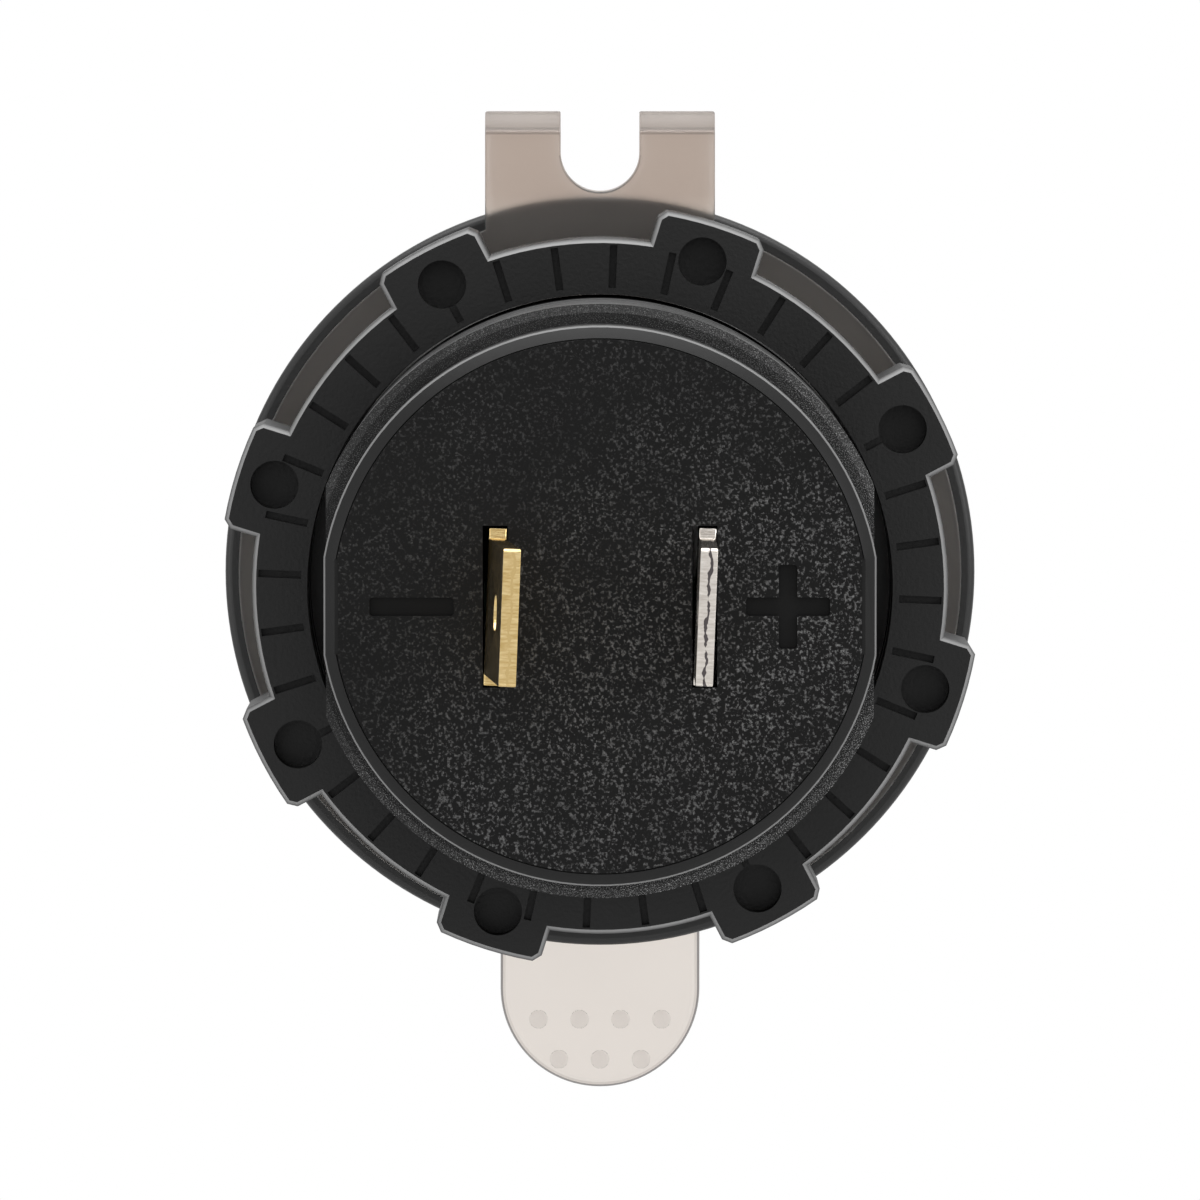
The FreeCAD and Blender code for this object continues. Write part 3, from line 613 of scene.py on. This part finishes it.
def metal(name, dark, light, rough):
    """Drawn or plated metal with a fine grain."""
    material, tree, shader, tone = new_finish(name, dark, light, 0.8, rough, Metallic=1.0)
    add_grain(tree, shader, 0.35, 0.006)
    return material


def plain(name, dark, light, rough, **constants):
    """Smooth finish of a small part inside the socket."""
    material, tree, shader, tone = new_finish(name, dark, light, 1.5, rough, **constants)
    add_grain(tree, shader, 0.3, 0.005)
    return material


black_moulding = moulding("black moulding", 0.006, 0.010, (0.36, 0.48), 0.22, 0.012, 0.4)
nut_moulding = moulding("nut moulding", 0.006, 0.010, (0.4, 0.52), 0.2, 0.02, 0.25)
smooth_cover = moulding("smooth cover moulding", 0.005, 0.008, (0.4, 0.5), 0.3, 0.006, 0.18)
# Rear cover face: painted glints on its mould grain.
cover_moulding = speck_glint_moulding("cover moulding", 0.004, 0.22, 0.13)
# Painted sheen: dense light specks stand in for the light caught by the barrel's end ring.
barrel_end_sheen = speck_glint_moulding("barrel end painted sheen", 0.012, 0.9, 0.045)
sunk_sign = moulding("sunk sign", 0.004, 0.007, (0.4, 0.5), 0.3, 0.006, 0.12)
# Painted highlight on the rear cover's rim rounding.
rim_highlight = moulding("painted rim highlight", 0.12, 0.20, (0.45, 0.6), 0.3, 0.01, 0.4)
# Painted highlight on the nut's back edge chamfers.
nut_edge_highlight = highlit_edge("nut edge painted highlight", 0.008, 0.26, nut_high.y - NUT_HIGHLIGHT_LOW, nut_high.y - NUT_HIGHLIGHT_HIGH)
# Each smoke finish's third colour is the painted shade of the doubled strap.
smoke_elastomer = elastomer("smoke elastomer", (0.75, 0.695, 0.645, 1), (0.80, 0.745, 0.695, 1),
                            (0.68, 0.61, 0.56, 1), (0.29, 0.36))
# Painted shade: dark lines on the clear moulding's roundings, cut faces, bend and inner ring edge.
smoke_shade_edge = elastomer("smoke elastomer painted edge shade", (0.06, 0.055, 0.055, 1), (0.10, 0.095, 0.095, 1),
                       (0.36, 0.32, 0.30, 1), (0.3, 0.4))
# The grip dots' own duller tint, also used to paint shade on the fold's top and the cap's gentler roundings.
smoke_dots_and_shade = elastomer("smoke elastomer dots and painted shade", (0.58, 0.53, 0.49, 1), (0.63, 0.58, 0.54, 1),
                       (0.48, 0.42, 0.38, 1), (0.4, 0.5))
tin_middle = (tin_low.x + tin_high.x) / 2
brass_blade = blade("brass blade", (0.48, 0.33, 0.12, 1), (0.72, 0.56, 0.29, 1), (0.56, 0.41, 0.18, 1),
                    (0.14, 0.24), (brass_low.x + BLADE_HALF, brass_high.y, 0))
tinned_blade = blade("tinned blade", (0.50, 0.46, 0.42, 1), (0.70, 0.66, 0.61, 1), (0.09, 0.08, 0.08, 1),
                     (0.18, 0.25), (tin_middle, tin_high.y, 0))
shell_steel = metal("shell steel", (0.50, 0.50, 0.50, 1), (0.62, 0.62, 0.61, 1), (0.29, 0.38))
contact_metal = metal("contact metal", (0.72, 0.52, 0.22, 1), (0.8, 0.6, 0.28, 1), (0.16, 0.25))
capacitor_can = metal("capacitor can", (0.6, 0.6, 0.6, 1), (0.7, 0.7, 0.7, 1), (0.3, 0.4))
board_laminate = plain("board laminate", (0.01, 0.08, 0.03, 1), (0.015, 0.11, 0.04, 1), (0.35, 0.5))
ferrite = plain("ferrite", grey(0.02), grey(0.035), (0.55, 0.7))
chip_moulding = plain("chip moulding", grey(0.01), grey(0.016), (0.5, 0.6))
light_moulding = plain("light moulding", grey(0.75), grey(0.82), (0.3, 0.4))
tongue_plastic = plain("tongue plastic", grey(0.72), grey(0.8), (0.35, 0.45))
clear_guide = plain("clear guide", grey(0.9), grey(0.95), (0.05, 0.1), Transmission_Weight=0.95, IOR=1.49)


# Pieces

def make_housing():
    """Flange and barrel in one: a flat on either side, a thread over the rest, rails for the board inside."""
    flange_radius, barrel_end = housing_high.x, housing_high.y
    flange_front, flange_back = housing_low.y, ring_low.y
    bm = turned([
        (BORE_RADIUS, face_back), (BORE_RADIUS, barrel_end), (BARREL_RADIUS - BARREL_BEVEL_WIDTH, barrel_end),
        (BARREL_RADIUS, barrel_end - BARREL_BEVEL_HEIGHT), (BARREL_RADIUS, flange_back),
        (flange_radius, flange_back), (flange_radius, flange_front), (RECESS_RADIUS, flange_front),
        (RECESS_RADIUS, face_back),
    ])
    soften(bm, FLANGE_FRONT_ROUND, 5, lambda edge: on_circle(edge, flange_radius, flange_front))
    soften(bm, FLANGE_BACK_ROUND, 4, lambda edge: on_circle(edge, flange_radius, flange_back))
    soften(bm, RECESS_EDGE_ROUND, 2, lambda edge: on_circle(edge, RECESS_RADIUS, flange_front))
    flats = [block((FLAT_OFFSET * side, flange_back + RING_GAP, -flange_radius),
                   (flange_radius * side, cover_back, flange_radius)) for side in (1, -1)]
    section = [(-radius, y) for radius, y in thread_section(BARREL_RADIUS, BARREL_RADIUS - THREAD_DEPTH)]
    groove = helix(section, THREAD_START - THREAD_PITCH / 4, THREAD_TURNS)
    bm = combine(bm, [*flats, groove], "DIFFERENCE")
    rails = [block((RAIL_INNER * side, RAIL_FRONT, RAIL_LOW * level),
                   ((BORE_RADIUS + FLAT_OFFSET) / 2 * side, board_back, RAIL_HIGH * level))
             for side in (1, -1) for level in (1, -1)]
    bm = combine(bm, rails, "UNION")

    # The barrel's end ring takes the painted sheen.
    def choose(middle, normal):
        return int(normal.y > BARREL_END_SLANT and middle.y > barrel_end - BARREL_BEVEL_HEIGHT)

    paint(bm, choose)
    return finish_piece("threaded_housing", bm, [black_moulding, barrel_end_sheen], ["housing"])


def make_ring_nut():
    """Ring nut with a painted highlight on its back edges and a thread in its bore."""
    bm = node_copy("ring_nut")
    groove = helix(thread_section(NUT_BORE, NUT_BORE + THREAD_DEPTH), THREAD_START + THREAD_PITCH * 3 / 4,
                   NUT_THREAD_TURNS)
    bm = combine(bm, [groove], "DIFFERENCE")
    rim = (NUT_BORE + nut_high.x) / 2 - NUT_RIM_MARGIN
    least, most = NUT_EDGE_SLANT

    # The chamfers round the back face take the painted highlight.
    def choose(middle, normal):
        at_back = middle.y > nut_high.y - NUT_EDGE_DEPTH
        return int(least < normal.y < most and at_back and middle.xz.length > rim)

    paint(bm, choose)
    return finish_piece("threaded_ring_nut", bm, [nut_moulding, nut_edge_highlight], ["ring_nut"],
                        "nut")


def bevel_flat(bm, side):
    """The rear cover's bevel carried on along one of its flats."""
    rim = mm(FLAT_OFFSET * side, cover_back - COVER_BEVEL_HEIGHT, 0)
    slope = Vector((COVER_BEVEL_HEIGHT * side, COVER_BEVEL, 0))
    border = cut_across(bm, rim, slope, dist=ON_PLANE * MM, clear_outer=True)
    bmesh.ops.holes_fill(bm, edges=border, sides=0)
    bmesh.ops.recalc_face_normals(bm, faces=bm.faces)
    bm.normal_update()


def make_rear_cover():
    """Rear cover: a bevelled rim set off by a fine line, and a minus and a plus sunk in its face."""
    bm = node_copy("rear_cover")
    for side in (1, -1):
        bevel_flat(bm, side)
    soften(bm, RIM_ROUND, 2, lambda edge: beyond(edge, FLAT_OFFSET - RIM_ROUND, cover_back - COVER_BEVEL))
    face_radius = COVER_RADIUS - COVER_BEVEL
    straight = FLAT_OFFSET - COVER_BEVEL
    chord = math.sqrt(face_radius ** 2 - straight ** 2)
    half = LINE_WIDTH / 2
    above, below = cover_back + LINE_DEPTH, cover_back - LINE_DEPTH
    lines = [turned([(face_radius - half, above), (face_radius + half, above), (face_radius, below)])]
    for side in (1, -1):
        x = straight * side
        lines.append(block((x - half, below, -chord), (x + half, above, chord)))
    bars = ((MINUS_CENTRE, SIGN_LENGTH, SIGN_WIDTH), (PLUS_CENTRE, SIGN_LENGTH, SIGN_WIDTH),
            (PLUS_CENTRE, SIGN_WIDTH, SIGN_LENGTH))
    signs = [block((x - width / 2, cover_back - SIGN_DEPTH, -height / 2),
                   (x + width / 2, cover_back + SIGN_DEPTH, height / 2)) for x, width, height in bars]
    for sign in signs:
        soften(sign, SIGN_CORNER, 3, along_y)
    bm = combine(bm, [*lines, *signs], "DIFFERENCE")
    least, most = RIM_SLANT

    def choose(middle, normal):
        reach = middle.xz.length
        # The rim's rounding takes the painted highlight.
        if reach > FLAT_OFFSET - RIM_BAND and least < normal.y < most:
            return 1
        if reach > face_radius - LINE_WIDTH or abs(middle.x) > straight - LINE_WIDTH:
            return 2
        return 0 if middle.y > cover_back - ON_FACE else 3

    paint(bm, choose)
    return finish_piece("signed_rear_cover", bm, [cover_moulding, rim_highlight, smooth_cover, sunk_sign],
                        ["rear_cover"])


def make_terminal(node, name, x, material):
    """Blade terminal, pressed in a little askew in its slot."""
    bm = node_copy(node)
    soften(bm, BLADE_EDGE_ROUND, 2)
    tilt = Matrix.Rotation(math.radians(-BLADE_TILT), 3, "Y")
    bmesh.ops.rotate(bm, cent=mm(x, 0, 0), matrix=tilt, verts=bm.verts)
    return finish_piece(name, bm, [material], [node])


def make_strap():
    """Up from the ring, over in two tight bends and down to the cap, with the slot cut between its prongs."""
    half = fold_high.x
    back = ring_high.y
    thick = ring_high.y - ring_low.y - RING_GAP
    bend = fold_high.z - thick - FOLD_INNER_ROUND
    back_bend = back - thick - FOLD_INNER_ROUND
    front_bend = fold_low.y + thick + FOLD_INNER_ROUND
    bm = block((-half, back - thick, STRAP_ROOT), (half, back, bend))
    end = max(bm.faces, key=lambda face: face.calc_center_median().z)
    end = swing(bm, end, mm(0, back_bend, bend))
    end = push(bm, end, mm(0, front_bend - back_bend, 0))
    end = swing(bm, end, mm(0, front_bend, bend))
    push(bm, end, mm(0, 0, STRAP_ROOT - bend))
    bmesh.ops.recalc_face_normals(bm, faces=bm.faces)
    slot = block((-SLOT_HALF, cap_low.y - thick, SLOT_FLOOR),
                 (SLOT_HALF, back + thick, fold_high.z + thick))
    round_lower_corners(slot, SLOT_HALF)
    return combine(bm, [slot], "DIFFERENCE")


def make_cap():
    """Cap disc and pull tab, both with rounded edges."""
    bm = disc(cap_high.x, cap_low.y, CAP_BACK, 192)
    tab = block((-TAB_HALF, cap_low.y, cap_low.z), (TAB_HALF, CAP_BACK, -cap_high.x / 2))
    round_lower_corners(tab, TAB_HALF)
    for form in (bm, tab):
        soften(form, CAP_EDGE_ROUND, 4, lambda edge: not along_y(edge))
    bm = combine(bm, [tab], "UNION")
    join_flat_faces(bm)
    return bm


def make_grip_dot(x, z):
    """A low dome on the back of the tab."""
    bm = bmesh.new()
    dome = Matrix.Diagonal((DOT_RADIUS, DOT_HEIGHT, DOT_RADIUS, 1))
    place = Matrix.Translation(mm(x, CAP_BACK - DOT_SINK, z)) @ dome
    bmesh.ops.create_uvsphere(bm, u_segments=32, v_segments=16, radius=MM, matrix=place)
    return bm


def make_dust_cap():
    """Ring, strap, cap, tab and grip dots: one soft moulding that bends at the strap."""
    ring_front = ring_low.y + RING_GAP
    ring = turned([(RING_INNER, ring_front), (ring_high.x, ring_front), (ring_high.x, ring_high.y),
                   (RING_INNER, ring_high.y)])
    back = combine(ring, [make_strap()], "UNION")
    join_flat_faces(back)
    soften(back, SOFT_EDGE)
    dots = [make_grip_dot(DOT_PITCH * column, z) for z, columns in DOT_ROWS for column in columns]
    bm = combine(make_cap(), [*dots, back], "UNION")
    least, most = FOLD_SLANT

    # Material 1 paints shade on the cap's and tab's steeper roundings, the strap's cut faces and sides, the
    # back bend's start and the ring's inner edge; material 2 is the grip dots' tint, and paints shade on the
    # fold's top and the gentler roundings.
    def choose(middle, normal):
        reach = middle.xz.length
        facing = abs(normal.y)
        below = middle.z < -RECESS_RADIUS
        behind_cap = middle.y > CAP_BACK + ON_FACE
        if behind_cap and below and reach > housing_high.x:
            return 2
        if middle.z > ring_high.x and reach > ring_high.x + SOFT_EDGE:
            in_fold = middle.z > fold_high.z - FOLD_BAND
            if normal.z > most and in_fold:
                return 2
            shaded_bend = ring_front < middle.y and least < normal.z < most
            cut = facing < FACING and not in_fold
            return int(shaded_bend or cut or abs(normal.x) > SIDE_FACING)
        if behind_cap:
            return int(reach < RING_INNER + SOFT_EDGE and facing < FACING)
        if facing > FACING or not (below or reach > cap_high.x - CAP_EDGE_BAND):
            return 0
        return 1 if facing < EDGE_FACING else 2

    paint(bm, choose)
    for step in range(FOLD_CUTS):
        y = ring_front + (CAP_BACK - ring_front) * (step + 1) / (FOLD_CUTS + 1)
        cut_across(bm, mm(0, y, 0), AXIS)
    piece = finish_piece("soft_dust_cap", bm, [smoke_elastomer, smoke_shade_edge, smoke_dots_and_shade],
                         ["cap_ring", "hinge_strap", "dust_cap"], None)
    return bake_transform(piece)


def make_plug():
    """Ring under the cap that seals in the flange's recess."""
    root, tip = CAP_BACK - PLUG_OVERLAP, cap_high.y
    bm = turned([(PLUG_INNER, root), (PLUG_OUTER, root), (PLUG_OUTER, tip), (PLUG_INNER, tip)])
    soften(bm, PLUG_EDGE_ROUND, 3, lambda edge: beyond(edge, 0, tip - ON_FACE))
    return finish_piece("cap_plug", bm, [smoke_elastomer], ["dust_cap"], "cap")


make_housing()
make_ring_nut()
make_rear_cover()
make_terminal("negative_terminal", "brass_terminal", brass_high.x - BLADE_HALF, brass_blade)
make_terminal("positive_terminal", "tinned_terminal", tin_middle, tinned_blade)
make_dust_cap()
make_plug()

for name, material, slot in (
    ("face_plate", black_moulding, "black_moulding"),
    ("circuit_board", board_laminate, "board_laminate"),
    ("choke", ferrite, "ferrite"),
    ("input_capacitor", capacitor_can, "capacitor_can"),
    ("output_capacitor", capacitor_can, "capacitor_can"),
    ("converter_chip", chip_moulding, "chip_moulding"),
    ("charge_control_chip", chip_moulding, "chip_moulding"),
    ("rectifier_diode", chip_moulding, "chip_moulding"),
    ("indicator_light", light_moulding, "light_moulding"),
    ("light_guide", clear_guide, "clear_guide"),
    ("upper_port_shell", shell_steel, "shell_steel"),
    ("lower_port_shell", shell_steel, "shell_steel"),
    ("upper_port_tongue", tongue_plastic, "tongue_plastic"),
    ("lower_port_tongue", tongue_plastic, "tongue_plastic"),
    ("upper_port_contacts", contact_metal, "contact_metal"),
    ("lower_port_contacts", contact_metal, "contact_metal"),
):
    nodes[name].data.materials.clear()
    nodes[name].data.materials.append(material)


# Camera, floor and lights

def make_camera():
    """A long lens behind the socket, a little above its axis."""
    data = bpy.data.cameras.new("camera")
    data.lens = LENS
    data.sensor_width = 36
    data.clip_start = 0.01
    data.clip_end = 10
    camera = bpy.data.objects.new("camera", data)
    bpy.context.scene.collection.objects.link(camera)
    lift = math.radians(CAMERA_LIFT)
    back = Vector((0, math.cos(lift), math.sin(lift)))
    camera.location = mm(*CAMERA_AIM) + back * CAMERA_DISTANCE * MM
    camera.rotation_euler = back.to_track_quat("Z", "Y").to_euler()
    bpy.context.scene.camera = camera


def make_light(name, place, size, watts):
    """A round softbox turned to the origin."""
    data = bpy.data.lights.new(name, "AREA")
    data.shape = "DISK"
    data.size = size * MM
    data.energy = watts
    light = bpy.data.objects.new(name, data)
    bpy.context.scene.collection.objects.link(light)
    light.location = mm(*place)
    light.rotation_euler = Vector(place).to_track_quat("Z", "Y").to_euler()


def make_floor():
    bm = bmesh.new()
    bmesh.ops.create_grid(bm, x_segments=1, y_segments=1, size=FLOOR_HALF * MM,
                          matrix=Matrix.Translation(mm(0, 0, FLOOR_LEVEL)))
    floor = make_object("floor", bm)
    material, tree, shader, tone = new_finish("pale floor", grey(0.82), grey(0.86), 40.0, (0.7, 0.8))
    floor.data.materials.append(material)


def make_world():
    """White where the camera, metal or the clear moulding sees it, softer as light."""
    world = bpy.data.worlds.new("studio")
    bpy.context.scene.world = world
    world.use_nodes = True
    tree = world.node_tree
    background = tree.nodes["Background"]
    background.inputs["Color"].default_value = (1, 1, 1, 1)
    rays = tree.nodes.new("ShaderNodeLightPath")
    seen = rays.outputs["Is Camera Ray"]
    for label in ("Is Glossy Ray", "Is Transmission Ray"):
        seen = number_math(tree, "MAXIMUM", seen, rays.outputs[label])
    tree.links.new(spread(tree, seen, 0, 1, LIGHT_STRENGTH, SEEN_STRENGTH), background.inputs["Strength"])


make_camera()
make_floor()
make_world()
make_light("top softbox", (0, 60, 450), 600, 3.0)
make_light("right softbox", (-420, 300, 160), 300, 1.0)
make_light("left softbox", (420, 250, 60), 300, 0.4)
make_light("lower right softbox", (-300, 200, -280), 200, 0.8)
make_light("lower left softbox", (300, 200, -280), 200, 1.0)
bpy.context.scene.view_settings.view_transform = "Standard"
